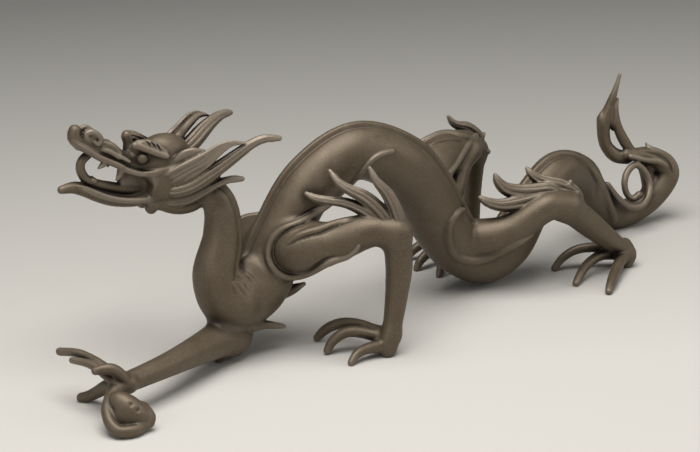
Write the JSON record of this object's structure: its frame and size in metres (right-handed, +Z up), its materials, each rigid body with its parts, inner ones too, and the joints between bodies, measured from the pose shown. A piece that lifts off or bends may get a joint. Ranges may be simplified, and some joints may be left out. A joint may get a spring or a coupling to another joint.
{
  "type": "dragon sculpture",
  "caption": "Small cast bronze figure of a walking dragon with an open mouth, swept-back mane, an arched body, clawed feet and a curled tail with a pointed fin.",
  "frame": {"origin": "on the ground, under the middle of the casting's outline box", "axes": "+X runs from the head to the tail, +Z is up, and the dragon's left flank faces -Y"},
  "size_m": [0.3088, 0.0806, 0.0949],
  "materials": {
    "bronze": "satin"
  },
  "bodies": {
    "root": {"dragon": "bronze"}
  },
  "joints": []
}
